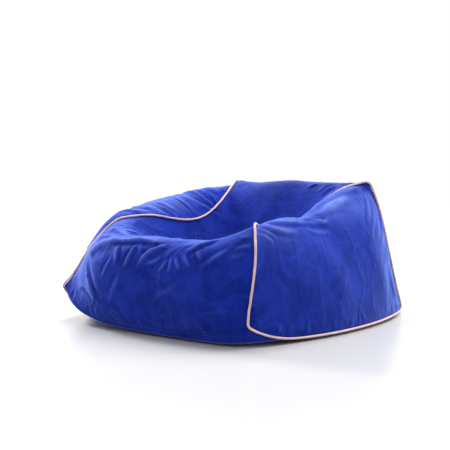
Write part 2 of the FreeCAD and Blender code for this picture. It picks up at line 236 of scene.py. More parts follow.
# ------------------------------------------------------------------ the welded bag
def build_grids():
    wrap = np.array([station_row(s) for s in FRONT + SEAT + BACK])
    right = side_net(wrap, -1, RIGHT_FLOOR_SEAM, RIGHT_ARM, 1)
    left = side_net(wrap, 0, LEFT_FLOOR_SEAM, LEFT_ARM, -1)
    floor = floor_net(wrap, right, left)
    rim, back_rim = len(FRONT) - 1, len(FRONT) + len(SEAT) - 1
    up = even_places([wrap[:rim + 1, 3], right[:, 4], wrap[:rim + 1, -1], wrap[back_rim:, 3][::-1]], UP)
    along = even_places([wrap[rim:back_rim + 1, 3], wrap[rim:back_rim + 1, -1], right[0]], ALONG)
    across = even_places([wrap[0], wrap[8], wrap[-1]], ACROSS)
    front_part = surface(wrap[:rim + 1], up, across)
    seat_part = surface(wrap[rim:back_rim + 1], along, across)
    back_part = surface(wrap[back_rim:], 1 - up[::-1], across)
    return {
        "wrap": np.vstack([front_part, seat_part[1:], back_part[1:]]),
        "right": surface(right, up, along),
        "left": surface(left, up, along),
        "floor": surface(floor, along, across),
    }


FLIPPED = {"wrap": False, "right": False, "left": True, "floor": True}


def grid_faces(ids, flip):
    quads = np.stack([ids[:-1, :-1], ids[:-1, 1:], ids[1:, 1:], ids[1:, :-1]], -1).reshape(-1, 4)
    return quads[:, ::-1] if flip else quads


def panel_faces(name, ids):
    """Faces of a panel on its own, over its points row by row."""
    return grid_faces(np.arange(ids.size).reshape(ids.shape), FLIPPED[name])


def bag_faces(numbers):
    return np.vstack([grid_faces(ids, FLIPPED[name]) for name, ids in numbers.items()])


def coarse_bag(points, numbers):
    """Every second point: the numbers of those kept, each panel's grid of new numbers, and the faces."""
    coarse = {name: ids[::2, ::2] for name, ids in numbers.items()}
    used = np.unique(np.concatenate([ids.reshape(-1) for ids in coarse.values()]))
    local = np.full(len(points), -1)
    local[used] = np.arange(len(used))
    coarse = {name: local[ids] for name, ids in coarse.items()}
    return used, coarse, bag_faces(coarse)


def side_loop(ids):
    """Point numbers once round a side panel."""
    return np.concatenate([ids[:-1, 0], ids[-1, :-1], ids[:0:-1, -1], ids[0, :0:-1]])


def weld(grids):
    """All panels as one set of points, and each panel's grid of point numbers."""
    stacked = np.vstack([grid.reshape(-1, 3) for grid in grids.values()])
    _, first, inverse = np.unique(np.round(stacked, 6), axis=0, return_index=True, return_inverse=True)
    inverse = inverse.reshape(-1)
    numbers, start = {}, 0
    for name, grid in grids.items():
        count = grid.shape[0] * grid.shape[1]
        numbers[name] = inverse[start:start + count].reshape(grid.shape[:2])
        start += count
    return stacked[first], numbers


def face_normals(points, faces):
    corners = points[faces]
    return np.cross(corners[:, 2] - corners[:, 0], corners[:, 3] - corners[:, 1])


def vertex_normals(points, faces):
    normal = face_normals(points, faces)
    total = np.zeros_like(points)
    for k in range(4):
        np.add.at(total, faces[:, k], normal)
    return unit(total)


def unit(vectors):
    return vectors / np.maximum(np.linalg.norm(vectors, axis=-1, keepdims=True), 1e-12)


def smoothstep(values, low, high):
    t = np.clip((values - low) / (high - low), 0, 1)
    return t * t * (3 - 2 * t)


def dot(a, b):
    return np.einsum("ij,ij->i", a, b)


def box_distance(points, box):
    low, high = np.array(box)
    outside = np.maximum(np.maximum(low - points, points - high), 0)
    return np.linalg.norm(outside, axis=1)


def near_line(points, line, reach):
    """Numbers of the points in the box round a line, with the reach to spare."""
    low, high = line.min(axis=0) - reach, line.max(axis=0) + reach
    return np.nonzero(((points > low) & (points < high)).all(axis=1))[0]


def finder(points):
    tree = KDTree(len(points))
    for i, point in enumerate(points):
        tree.insert(point, i)
    tree.balance()
    return tree


def smoothed_loop(values, rounds):
    """Values round a closed line, blended with their neighbours."""
    for _ in range(rounds):
        values = values * 0.5 + (np.roll(values, 1, axis=0) + np.roll(values, -1, axis=0)) * 0.25
    return values


def new_object(name, points, faces):
    mesh = bpy.data.meshes.new(name)
    mesh.from_pydata(points.tolist(), [], [list(map(int, f)) for f in faces])
    mesh.update()
    mesh.shade_smooth()
    piece = bpy.data.objects.new(name, mesh)
    bpy.context.scene.collection.objects.link(piece)
    return piece


# ------------------------------------------------------------------ noise in space
class Noise:
    """Smooth noise, mostly between -1 and 1, of seeded plane waves, with features about one size across."""

    def __init__(self, seed, size, waves=28):
        draw = np.random.default_rng(seed)
        self.ways = unit(draw.normal(size=(waves, 3))) * draw.uniform(0.7, 1.4, (waves, 1)) * math.pi / size
        self.phase = draw.uniform(0, 2 * math.pi, waves)
        self.scale = 1.3 / math.sqrt(waves)

    def __call__(self, points):
        return np.sin(points @ self.ways.T + self.phase).sum(axis=1) * self.scale


# ------------------------------------------------------------------ cloth simulation
def zip_mask(points):
    """0 beside the zips, where the cover keeps the CAD shape, and 1 from 45 mm away."""
    return smoothstep(box_distance(points, ZIPS_BOX), 0.004, 0.045)


def press_distance(points):
    """Distance from the hollow that a sitter has pressed into the seat and over its front rim."""
    return box_distance(points, PRESSED_BOX)


def simulate(points, faces, seam):
    """Slack cloth round the filling: it is a little too large for its shape, and buckles."""
    piece = new_object("simulated_cover", points, faces)
    hold = piece.vertex_groups.new(name="hold")
    slack = piece.vertex_groups.new(name="slack")
    floor_touch = 1 - smoothstep(points[:, 2], 0.004, 0.03)
    fixed = np.maximum(floor_touch, 1 - zip_mask(points))
    weight = np.where(seam, SIM_HOLD_SEAM, SIM_HOLD)
    weight = np.where(fixed > 0.5, 1.0, np.maximum(weight, fixed))
    near = 1 - smoothstep(press_distance(points), 0.0, 0.16)
    lumps = Noise(SEED, 0.16)(points) * 0.5 + 0.5
    loose = np.clip(0.25 + 0.65 * near + 0.45 * (lumps - 0.5), 0.05, 1.0)
    for i in range(len(points)):
        hold.add([i], float(weight[i]), "REPLACE")
        slack.add([i], float(loose[i]), "REPLACE")
    cloth = piece.modifiers.new("cloth", "CLOTH")
    for setting, value in SIM_SETTINGS.items():
        setattr(cloth.settings, setting, value)
    cloth.settings.effector_weights.gravity = SIM_GRAVITY
    cloth.collision_settings.use_collision = False
    cloth.collision_settings.use_self_collision = False
    cloth.point_cache.frame_start = 1
    cloth.point_cache.frame_end = SIM_FRAMES
    scene = bpy.context.scene
    for step in range(1, SIM_FRAMES + 1):
        scene.frame_set(step)
    settled = piece.evaluated_get(bpy.context.evaluated_depsgraph_get())
    moved = np.empty(len(points) * 3)
    settled.data.vertices.foreach_get("co", moved)
    mesh = piece.data
    bpy.data.objects.remove(piece)
    bpy.data.meshes.remove(mesh)
    scene.frame_set(1)
    return moved.reshape(-1, 3) - points


def doubled(grid):
    """A grid of vectors at twice the density, smoothed."""
    for axis in (0, 1):
        grid = np.moveaxis(grid, axis, 0)
        fine = np.empty((2 * len(grid) - 1, *grid.shape[1:]))
        fine[::2] = grid
        fine[1::2] = (grid[:-1] + grid[1:]) / 2
        fine[1:-1] = fine[1:-1] * 0.5 + (fine[:-2] + fine[2:]) * 0.25
        grid = np.moveaxis(fine, 0, axis)
    return grid


def simulated_shift(points, numbers):
    """The simulation's shift of every point, worked out on every second one."""
    used, coarse, faces = coarse_bag(points, numbers)
    seam = np.zeros(len(used), bool)
    for name in ("right", "left"):
        seam[side_loop(coarse[name])] = True
    for name in ("wrap", "floor"):
        seam[coarse[name][[0, -1]]] = True
    shift = simulate(points[used], faces, seam)
    total, count = np.zeros_like(points), np.zeros(len(points))
    for name, ids in coarse.items():
        fine = doubled(shift[ids])
        np.add.at(total, numbers[name].reshape(-1), fine.reshape(-1, 3))
        np.add.at(count, numbers[name].reshape(-1), 1)
    return total / count[:, None]


# ------------------------------------------------------------------ folds
# Each fold: height of its ridge, half width (both mm), lean, points along it (mm). The lean moves the
# valley beside the ridge to one side or the other. The ridges were picked on the photo, and another
# program put their points onto the bag's surface: the points are a table that program made.
FOLDS = [
    (4.5, 7, 1, [(15, -477, 194), (28, -469, 226), (50, -459, 249), (82, -452, 259), (105, -448, 263)]),
    (6.0, 9, -1, [(-180, -426, 260), (-96, -442, 266), (-30, -439, 271), (33, -433, 274), (111, -450, 261)]),
    (4.5, 6, 1, [(-37, -477, 193), (-27, -470, 222), (-16, -461, 246), (-14, -447, 265)]),
    (4.0, 6, -1, [(-69, -473, 208), (-74, -464, 236), (-84, -448, 261)]),
    (4.5, 9, 1, [(-247, -440, 198), (-212, -458, 173), (-184, -469, 137), (-161, -471, 94)]),
    (6.0, 15, 0, [(-222, -437, 213), (-203, -429, 244), (-155, -434, 262), (-90, -448, 261)]),
    (-6.5, 11, 0, [(-253, -351, 273), (-186, -378, 284), (-93, -412, 279)]),
    (2.5, 6, 1, [(-124, -478, 163), (-115, -473, 193), (-95, -468, 221)]),
    (3.5, 5, -1, [(47, -473, 213), (71, -474, 209), (91, -470, 222), (105, -465, 236)]),
    (3.5, 5, 1, [(97, -477, 192), (117, -473, 209), (126, -468, 229)]),
    (4.0, 5, 1, [(135, -477, 189), (140, -473, 211), (137, -465, 235)]),
    (4.0, 5, -1, [(177, -474, 200), (166, -470, 218), (154, -464, 236)]),
    (3.5, 5, -1, [(214, -470, 210), (196, -466, 228), (179, -459, 246)]),
    (3.0, 6, 1, [(250, -462, 229), (232, -458, 244), (215, -450, 258)]),
    (4.0, 8, -1, [(183, -456, 251), (212, -443, 266), (228, -419, 282), (267, -410, 289)]),
    (2.5, 8, 1, [(244, -467, 212), (282, -453, 244), (324, -436, 264)]),
    (3.0, 8, -1, [(-276, -437, 111), (-224, -457, 139), (-184, -469, 113), (-167, -469, 87)]),
    (2.0, 9, 1, [(-95, -477, 95), (-65, -483, 142), (-51, -479, 181)]),
    (1.8, 10, -1, [(319, -452, 232), (352, -437, 250), (382, -424, 256)]),
    (2.2, 6, 1, [(341, -432, 265), (365, -420, 276), (386, -411, 279)]),
    (2.2, 6, -1, [(340, -413, 290), (361, -405, 299), (378, -401, 302)]),
    (1.6, 10, 1, [(70, -481, 110), (128, -482, 144), (199, -479, 163)]),
    (1.6, 12, -1, [(210, -470, 72), (297, -467, 102), (364, -443, 111)]),
    (4.5, 5, 1, [(373, -379, 309), (382, -358, 296), (392, -334, 280)]),
    (4.0, 5, 1, [(365, -367, 317), (376, -345, 310), (388, -315, 295)]),
    (5.0, 8, -1, [(362, -344, 323), (378, -320, 312), (387, -277, 303), (388, -211, 302)]),
    (5.5, 7, -1, [(359, -313, 331), (363, -263, 332), (368, -202, 326), (364, -136, 321)]),
    (6.0, 5, 1, [(342, -121, 333), (349, -85, 328), (365, -66, 319), (370, -42, 320), (360, -17, 337)]),
    (-5.0, 9, 0, [(375, -153, 313), (375, -102, 307), (380, -46, 307)]),
    (6.0, 13, 0, [(344, -46, 338), (344, 8, 360), (350, 58, 376), (351, 118, 389)]),
    (3.5, 6, 1, [(329, 2, 362), (339, 37, 375), (352, 72, 379)]),
    (3.0, 6, -1, [(360, -5, 343), (362, 34, 356), (373, 68, 355)]),
    (3.5, 7, 1, [(337, 260, 381), (369, 226, 339), (398, 172, 302), (416, 132, 271)]),
    (4.0, 6, -1, [(342, 302, 335), (368, 271, 295), (412, 193, 248)]),
    (3.0, 6, 1, [(377, 275, 260), (403, 241, 219), (428, 190, 181)]),
    (4.0, 8, 1, [(416, 236, 170), (419, 250, 115), (402, 319, 48)]),
    (3.0, 7, -1, [(346, 209, 389), (378, 176, 348), (402, 131, 307)]),
    (-4.0, 9, 0, [(350, 132, 392), (342, 179, 400), (321, 256, 407)]),
    (4.0, 6, 1, [(-300, -123, 350), (-272, -114, 341), (-248, -96, 328)]),
    (4.0, 6, -1, [(-306, -58, 362), (-275, -42, 351), (-245, -16, 331)]),
    (3.5, 5, 1, [(-301, -14, 368), (-274, 6, 356), (-247, 17, 336)]),
    (5.0, 6, 1, [(-317, 95, 388), (-267, 85, 364), (-231, 112, 340), (-199, 149, 308)]),
    (4.0, 5, -1, [(-304, 40, 376), (-266, 43, 355), (-234, 53, 328)]),
    (4.5, 6, -1, [(-309, 199, 401), (-248, 165, 372), (-213, 167, 338)]),
    (4.5, 6, 1, [(-314, 135, 394), (-267, 133, 376), (-222, 145, 342)]),
    (2.8, 10, 1, [(131, 269, 395), (143, 292, 415), (174, 311, 425)]),
    (-2.2, 9, 0, [(162, 246, 377), (176, 266, 400), (204, 278, 413)]),
    (2.6, 9, -1, [(77, 282, 404), (90, 298, 417), (102, 311, 424)]),
    (3.0, 8, 1, [(197, 300, 422), (228, 313, 428), (276, 298, 429)]),
]


def smooth_line(points, samples=48):
    """B-spline from the first point to the last, through the neighbourhood of those between."""
    points = np.array(points, float)
    if len(points) == 3:
        points = np.array([points[0], lerp(points[0], points[1], 0.7),
                           lerp(points[2], points[1], 0.7), points[2]])
    return basis(len(points), np.linspace(0, 1, samples)) @ points


def fold_heights(points, normals, folds):
    """Height of all the folds at every point, in metres."""
    height = np.zeros(len(points))
    for rise, half, lean, way in folds:
        line = smooth_line(way) * MM
        rise, half = rise * MM, half * MM
        near = near_line(points, line, 3.2 * half)
        if not len(near):
            continue
        offset = points[near][:, None, :] - line[None]
        distance = np.linalg.norm(offset, axis=2)
        nearest = distance.argmin(axis=1)
        each = np.arange(len(near))
        gap = distance[each, nearest]
        tangent = unit(np.gradient(line, axis=0))[nearest]
        side = dot(offset[each, nearest], np.cross(normals[near], tangent))
        taper = np.sin(nearest / (len(line) - 1) * math.pi) ** 0.7
        leaning_gap = gap * (1 + 0.25 * lean * side / np.maximum(gap, MM))
        ridge = np.exp(-(leaning_gap / half) ** 1.6)
        valley_place = (side * lean - 1.7 * half) if lean else (np.abs(side) - 1.9 * half)
        along = np.sqrt(np.maximum(gap ** 2 - side ** 2, 0))
        valley = np.exp(-(valley_place / (0.9 * half)) ** 2 - (along / half) ** 2)
        height[near] += rise * taper * (ridge - 0.55 * valley)
    return height


def seam_folds(seam_points, seam_inward, seed, count, length, rise):
    """Short gathers that run away from a seam, at uneven spacing."""
    draw = np.random.default_rng(seed)
    folds = []
    places = np.sort(draw.uniform(0, len(seam_points) - 1, count)).astype(int)
    for place in places:
        start = seam_points[place]
        way = seam_inward[place]
        run = draw.uniform(0.6, 1.4) * length
        turn = seam_points[min(place + 3, len(seam_points) - 1)] - seam_points[max(place - 3, 0)]
        turn = unit(turn) * draw.uniform(-0.5, 0.5)
        middle = start + (way + turn) * run * 0.5
        end = start + (way + turn * 1.6) * run
        half = draw.uniform(5.0, 9.0)
        folds.append((rise * draw.uniform(0.5, 1.3), half, draw.choice([-1, 1]),
                      [start / MM, middle / MM, end / MM]))
    return folds


# ------------------------------------------------------------------ sheets with an inside and an edge
def solid_sheet(outer, inner, faces):
    """Closed cloth between two layers of the same points."""
    count = len(outer)
    edges = np.concatenate([faces[:, [k, (k + 1) % 4]] for k in range(4)])
    wanted = edges.min(axis=1) * count + edges.max(axis=1)
    _, first, times = np.unique(wanted, return_index=True, return_counts=True)
    border = edges[first[times == 1]]
    strips = np.stack([border[:, 1], border[:, 0], border[:, 0] + count, border[:, 1] + count], -1)
    everything = np.vstack([faces, faces[:, ::-1] + count, strips])
    used, local = np.unique(everything, return_inverse=True)
    return np.vstack([outer, inner])[used], local.reshape(everything.shape)


def drawn_in(grid, gap):
    """The panel's four borders moved in from the seam."""
    grid = grid.copy()
    for edge, beside in ((0, 1), (-1, -2)):
        grid[edge] += unit(grid[beside] - grid[edge]) * gap
        grid[:, edge] += unit(grid[:, beside] - grid[:, edge]) * gap
    return grid


def slot_faces(points, faces, height):
    """Which faces lie in the zip's slot."""
    middle = points[faces].mean(axis=1)
    level = np.abs(middle[:, 2] - height) < SLOT_HALF
    return level & (np.abs(middle[:, 0]) < SLOT_END) & (middle[:, 1] > 0.3)


def fit_slot(grid, height):
    """Moves the grid lines beside a zip onto the edges of its slot."""
    back = np.arange(len(grid) - UP + 2, len(grid) - 2)
    middle = grid[back, ACROSS // 2]
    row = back[np.abs(middle[:, 2] - height).argmin()]
    centre, up, _ = zip_axes(grid, height)
    step = grid[row - 3, ACROSS // 2] - grid[row + 3, ACROSS // 2]
    spacing = np.linalg.norm(step) / 6
    rungs, fade_rows, fade_columns = 5, 9, 4
    widening = ((rungs + 1) * spacing - SLOT_HALF) / rungs
    x = grid[row, :, 0]
    for away in range(-rungs, rungs + 1):
        target = (SLOT_HALF + (abs(away) - 1) * widening) * np.sign(away)
        rung = row - away * int(np.sign(step[2]))
        for column in range(ACROSS):
            keep = smoothstep(abs(x[column]), SLOT_END, SLOT_END + 40 * MM)
            point = grid[rung, column]
            point += up * (target - (point - centre) @ up) * (1 - keep)
    for column in (np.abs(x - SLOT_END).argmin(), np.abs(x + SLOT_END).argmin()):
        for rung in range(row - fade_rows, row + fade_rows + 1):
            shift = math.copysign(SLOT_END, x[column]) - grid[rung, column, 0]
            shift *= 1 - smoothstep(abs(rung - row), 2, fade_rows + 1)
            for beside in range(-fade_columns, fade_columns + 1):
                grid[rung, column + beside, 0] += shift * (1 - abs(beside) / (fade_columns + 1))


# ------------------------------------------------------------------ tubes
def closed_path(points, spacing):
    """Evenly spaced points along a closed line. Columns after the first three go with them."""
    ring = np.vstack([points, points[:1]])
    steps = np.linalg.norm(np.diff(ring[:, :3], axis=0), axis=1)
    length = np.concatenate([[0], np.cumsum(steps)])
    places = np.linspace(0, length[-1], int(length[-1] / spacing), endpoint=False)
    return np.stack([np.interp(places, length, column) for column in ring.T], -1), places


def rings(path, out, radii):
    """Rings of points round a closed path. radii has a row for each place and a column for each side."""
    along = unit(np.roll(path, -1, axis=0) - np.roll(path, 1, axis=0))
    out = unit(out - along * dot(out, along)[:, None])
    across = np.cross(along, out)
    angle = np.linspace(0, 2 * math.pi, radii.shape[1], endpoint=False)
    ring = out[:, None] * np.cos(angle)[None, :, None] + across[:, None] * np.sin(angle)[None, :, None]
    return path[:, None] + ring * radii[:, :, None]


def ring_faces(rows, sides, closed=True):
    ids = np.arange(rows * sides).reshape(rows, sides)
    ids = np.hstack([ids, ids[:, :1]])
    if closed:
        ids = np.vstack([ids, ids[:1]])
    return grid_faces(ids, False)


# ------------------------------------------------------------------ materials
def material(name):
    made = bpy.data.materials.new(name)
    made.use_nodes = True
    tree = made.node_tree
    return made, tree, tree.nodes["Principled BSDF"]


def connect(tree, socket, value):
    """Links a socket to another node's output, or gives it a plain value."""
    if isinstance(value, bpy.types.NodeSocket):
        tree.links.new(value, socket)
    else:
        socket.default_value = value


def feed(tree, node, **values):
    """Sets a node's inputs by name, with _ for a space."""
    for name, value in values.items():
        connect(tree, node.inputs[name.replace("_", " ")], value)


def noise_node(tree, scale, detail, distortion, vector):
    node = tree.nodes.new("ShaderNodeTexNoise")
    feed(tree, node, Scale=scale, Detail=detail, Distortion=distortion, Vector=vector)
    return node.outputs["Fac"]


def arithmetic(tree, operation, *values):
    node = tree.nodes.new("ShaderNodeMath")
    node.operation = operation
    for socket, value in zip(node.inputs, values):
        connect(tree, socket, value)
    return node.outputs[0]


def ramp(tree, factor, stops):
    node = tree.nodes.new("ShaderNodeValToRGB")
    while len(node.color_ramp.elements) < len(stops):
        node.color_ramp.elements.new(0.5)
    for element, (place, color) in zip(node.color_ramp.elements, stops):
        element.position = place
        element.color = (*color, 1.0)
    tree.links.new(factor, node.inputs["Fac"])
    return node.outputs["Color"]


def object_coordinates(tree):
    return tree.nodes.new("ShaderNodeTexCoord").outputs["Object"]


def bump(tree, height, strength, distance, **under):
    node = tree.nodes.new("ShaderNodeBump")
    feed(tree, node, Strength=strength, Distance=distance, Height=height, **under)
    return node.outputs["Normal"]


def mix_colors(tree, factor, a, b):
    node = tree.nodes.new("ShaderNodeMix")
    node.data_type = "RGBA"
    feed(tree, node, Factor=factor, A=a, B=b)
    return node.outputs["Result"]


def attribute(tree, name):
    node = tree.nodes.new("ShaderNodeAttribute")
    node.attribute_name = name
    return node.outputs["Fac"]


def suede():
    made, tree, shader = material("blue_microsuede")
    where = object_coordinates(tree)
    nap_and_painted_light = noise_node(tree, 9.0, 6.0, 1.3, where)
    brushed = noise_node(tree, 48.0, 4.0, 0.9, where)
    fibre = noise_node(tree, 900.0, 2.0, 0.0, where)
    broad = ramp(tree, nap_and_painted_light, [(0.41, (0.0020, 0.0090, 0.145)), (0.60, (0.0095, 0.0275, 0.305))])
    fine = ramp(tree, brushed, [(0.36, (0.0030, 0.0120, 0.170)), (0.68, (0.0095, 0.0265, 0.290))])
    fuzz = ramp(tree, fibre, [(0.30, (0.0030, 0.0115, 0.170)), (0.72, (0.0090, 0.0250, 0.290))])
    color = mix_colors(tree, 0.42, broad, fine)
    color = mix_colors(tree, 0.22, color, fuzz)
    # Painted shade: a darker blue, mixed in over the seat's hollow and along the back rim.
    dark = ramp(tree, brushed, [(0.30, (0.0010, 0.0055, 0.080)), (0.72, (0.0035, 0.0130, 0.150))])
    color = mix_colors(tree, attribute(tree, "away"), color, dark)
    # Painted highlight: a paler, greyer blue, mixed in on the fold ridges and the brightly lit edges.
    painted_highlight_color = ramp(tree, fibre, [(0.25, (0.088, 0.138, 0.49)), (0.75, (0.135, 0.195, 0.62))])
    color = mix_colors(tree, attribute(tree, "painted_light"), color, painted_highlight_color)
    normal = bump(tree, brushed, 0.22, 0.002, Normal=bump(tree, fibre, 0.35, 0.0006))
    feed(tree, shader, Base_Color=color, Normal=normal, Roughness=0.90, Specular_IOR_Level=0.05,
         Sheen_Weight=0.80, Sheen_Roughness=0.36, Sheen_Tint=(0.26, 0.38, 0.95, 1.0))
    return made


def woven(name, dark, light, pitch, relief=0.0003):
    """Plain cloth: two crossed sets of threads and a little unevenness."""
    made, tree, shader = material(name)
    where = object_coordinates(tree)
    soil = noise_node(tree, 30.0, 3.0, 0.3, where)
    threads = []
    for direction in ("X", "Z"):
        wave = tree.nodes.new("ShaderNodeTexWave")
        wave.bands_direction = direction
        feed(tree, wave, Scale=1 / pitch, Distortion=0.6, Vector=where)
        threads.append(wave.outputs["Fac"])
    cloth = arithmetic(tree, "MULTIPLY", *threads)
    base = ramp(tree, soil, [(0.35, dark), (0.65, light)])
    shade = ramp(tree, cloth, [(0.0, tuple(c * 0.86 for c in dark)), (0.7, light)])
    feed(tree, shader, Base_Color=mix_colors(tree, 0.35, base, shade), Roughness=0.8,
         Specular_IOR_Level=0.2, Sheen_Weight=0.2, Normal=bump(tree, cloth, 0.4, relief))
    return made


def plain(name, color, roughness, grain, metallic=0.0):
    made, tree, shader = material(name)
    where = object_coordinates(tree)
    speck = noise_node(tree, grain, 2.0, 0.0, where)
    dark = tuple(c * 0.82 for c in color)
    feed(tree, shader, Base_Color=ramp(tree, speck, [(0.3, dark), (0.7, color)]), Roughness=roughness,
         Metallic=metallic, Normal=bump(tree, speck, 0.3, 0.0002))
    return made


def bead_material():
    made, tree, shader = material("polystyrene_beads")
    cells = tree.nodes.new("ShaderNodeTexVoronoi")
    feed(tree, cells, Scale=260.0, Vector=object_coordinates(tree))
    away = cells.outputs["Distance"]
    # Painted shade: each white bead is painted greyer towards its edge, in the gaps between the beads.
    color = ramp(tree, away, [(0.0, (0.90, 0.90, 0.89)), (0.8, (0.62, 0.62, 0.61))])
    crown = arithmetic(tree, "SUBTRACT", 1.0, away)
    feed(tree, shader, Base_Color=color, Roughness=0.6, Normal=bump(tree, crown, 0.8, 0.0012))
    return made


# ------------------------------------------------------------------ stage
def lamp(name, kind, place, aim, energy):
    light = bpy.data.lights.new(name, kind)
    light.energy = energy
    stand = bpy.data.objects.new(name, light)
    stand.location = place
    stand.rotation_euler = (Vector(aim) - Vector(place)).to_track_quat("-Z", "Y").to_euler()
    bpy.context.scene.collection.objects.link(stand)
    return light


def softbox(name, place, aim, size, watts):
    light = lamp(name, "AREA", place, aim, watts)
    light.shape = "SQUARE"
    light.size = size


def studio():
    bpy.ops.mesh.primitive_plane_add(size=14, location=(0, 0, -0.0005))
    floor = bpy.context.object
    floor.name = "studio_floor"
    made, tree, shader = material("white_gloss_floor")
    feed(tree, shader, Base_Color=(0.482, 0.480, 0.474, 1.0), Roughness=0.25, Specular_IOR_Level=0.25)
    floor.data.materials.append(made)

    scene = bpy.context.scene
    scene.view_settings.view_transform = "Standard"
    scene.world = bpy.data.worlds.new("studio")
    scene.world.use_nodes = True
    world = scene.world.node_tree
    feed(world, world.nodes["Background"], Color=(1.0, 1.0, 1.0, 1.0), Strength=1.0)
    softbox("rim_right", (1.9, 1.9, 1.6), (0.1, 0, 0.25), 0.7, 24)
    softbox("rim_left", (-2.3, -0.2, 1.5), (-0.1, 0, 0.25), 0.6, 95)
    lamp("ceiling", "SUN", (0.10, 0.55, 1.0), (0, 0, 0), 3.9).angle = math.radians(50)


def camera():
    lens = bpy.data.cameras.new("camera")
    lens.sensor_width = 36.0
    lens.lens = 81.92
    lens.clip_start = 0.05
    eye = bpy.data.objects.new("camera", lens)
    eye.location = (2.0506, -2.5711, 0.5225)
    eye.rotation_euler = (math.radians(90 - 3.98), 0, math.radians(39.25))
    bpy.context.scene.collection.objects.link(eye)
    bpy.context.scene.camera = eye


# ------------------------------------------------------------------ pieces
def declare(piece, finish, nodes=(), body="bag"):
    piece.data.materials.append(finish)
    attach(piece, body)
    if nodes:
        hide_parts(*nodes)


def set_attribute(piece, name, values):
    layer = piece.data.attributes.new(name, "FLOAT", "POINT")
    layer.data.foreach_set("value", np.asarray(values, float))


def panel_normals(points, numbers):
    """Each panel's own normals at its points, by point number."""
    return {name: vertex_normals(points, grid_faces(ids, FLIPPED[name])) for name, ids in numbers.items()}


def rounded_corners(points, numbers):
    """Moves the sharp corners of the side panels in, and the cloth beside them with them."""
    points = points.copy()
    for name in ("right", "left"):
        loop = side_loop(numbers[name])
        line = points[loop]
        soft = smoothed_loop(line, CORNER_PASSES)
        shift = soft - line
        moving = np.nonzero(np.linalg.norm(shift, axis=1) > 0.2 * MM)[0]
        tree = finder(line[moving])
        for i in np.setdiff1d(near_line(points, line[moving], CORNER_REACH), loop):
            _, k, gap = tree.find(points[i])
            if gap < CORNER_REACH:
                points[i] += shift[moving[k]] * (1 - gap / CORNER_REACH) ** 2
        points[loop] = soft
    points[:, 2] = np.maximum(points[:, 2], 0.0)
    return points


def seam_distance(points, numbers):
    """Distance of every point to the nearest seam."""
    seam = np.unique(np.concatenate(
        [side_loop(numbers["right"]), side_loop(numbers["left"]), numbers["wrap"][0], numbers["wrap"][-1]]))
    tree = finder(points[seam])
    return np.array([tree.find(point)[2] for point in points])


def seam_gathers(points, numbers):
    """Gathers along the piping, and along the front and back floor seams."""
    folds = []
    for seed, name in ((11, "right"), (12, "left")):
        ids = numbers[name]
        loop = side_loop(ids)
        inward = np.concatenate([ids[:-1, 8], ids[-9, :-1], ids[:0:-1, -9], ids[8, :0:-1]])
        way = unit(points[inward] - points[loop])
        folds += seam_folds(points[loop], way, seed, 64, 0.040, 1.5)
    for seed, near, far, count in ((13, 0, 9, 26), (14, -1, -10, 22)):
        ids = numbers["wrap"]
        way = unit(points[ids[far]] - points[ids[near]])
        folds += seam_folds(points[ids[near]], way, seed, count, 0.045, 1.6)
    return folds


def wandering_folds(grid, seed, count, rows, columns, run, rise):
    """Slack folds across a panel. The run is how far they go along the grid's rows and columns."""
    draw = np.random.default_rng(seed)
    folds = []
    for _ in range(count):
        row, column = draw.uniform(*rows), draw.uniform(*columns)
        run_rows, run_columns = np.array(run) * draw.uniform(0.6, 1.3) * (1, draw.uniform(-1, 1))
        bend = draw.uniform(-0.25, 0.25) * run_rows
        way = []
        for share in (0.0, 0.33, 0.67, 1.0):
            r = row + run_rows * share
            c = column + run_columns * share + bend * math.sin(share * math.pi)
            r, c = np.clip((r, c), 2, (grid.shape[0] - 3, grid.shape[1] - 3)).astype(int)
            way.append(grid[r, c] / MM)
        folds.append((rise * draw.uniform(0.6, 1.3), draw.uniform(7.0, 12.0), draw.choice([-1, 1]), way))
    return folds


def hidden_folds(points, numbers):
    """Folds on the left side, the back and the seat."""
    left, wrap = points[numbers["left"]], points[numbers["wrap"]]
    back = len(wrap) - UP
    folds = wandering_folds(left, 31, 12, (58, 78), (25, ALONG - 30), (26, 16), 4.2)
    folds += wandering_folds(left, 32, 9, (12, 34), (30, ALONG - 40), (20, 30), 3.2)
    folds += wandering_folds(wrap, 33, 11, (back + 4, back + 22), (22, ACROSS - 24), (24, 14), 4.2)
    folds += wandering_folds(wrap, 34, 7, (len(wrap) - 16, len(wrap) - 8), (8, ACROSS - 12), (-14, 8), 3.2)
    folds += wandering_folds(wrap, 35, 9, (UP + 8, UP + 22), (40, ACROSS - 44), (34, 18), 4.0)
    folds += wandering_folds(wrap, 36, 10, (UP + 120, UP + 150), (35, ACROSS - 40), (34, 16), 4.4)
    return folds


# Painted highlights and painted shade on the cover: centre and reach (both mm), and how pale (below 0: how
# dark).
# The centres were found like the points of FOLDS and then rounded.
PAINTED_LIGHT_PATCHES = [
    ((355, 45, 372), (60, 105, 50), 0.52),
    ((420, 225, 260), (60, 65, 170), 0.38),
    ((385, -330, 315), (45, 90, 35), 0.30),
    ((-290, -40, 375), (70, 150, 50), 0.55),
    ((-220, -420, 235), (110, 80, 80), 0.22),
    ((-330, -390, 150), (60, 60, 70), 0.32),
    ((0, 310, 430), (280, 110, 60), -0.95),
    ((0, 150, 300), (220, 150, 130), -0.35),
]


def relief(base, gap):
    """Lumps and small creases, which die away towards the seams."""
    lumps = Noise(3, 0.13)(base) * 2.2 + Noise(4, 0.055)(base) * 0.7
    slack = 0.30 + 0.70 * (1 - smoothstep(press_distance(base), 0.0, 0.13))
    slack += 0.55 * np.exp(-(gap / 0.05) ** 2)
    crease = np.maximum(1 - np.abs(Noise(5, 0.085)(base)), 0) ** 4
    crease += 0.6 * np.maximum(1 - np.abs(Noise(6, 0.05)(base)), 0) ** 5
    return (lumps + (crease - 0.3) * 2.4 * np.minimum(slack, 1.0)) * MM * smoothstep(gap, 0.0, 0.05)


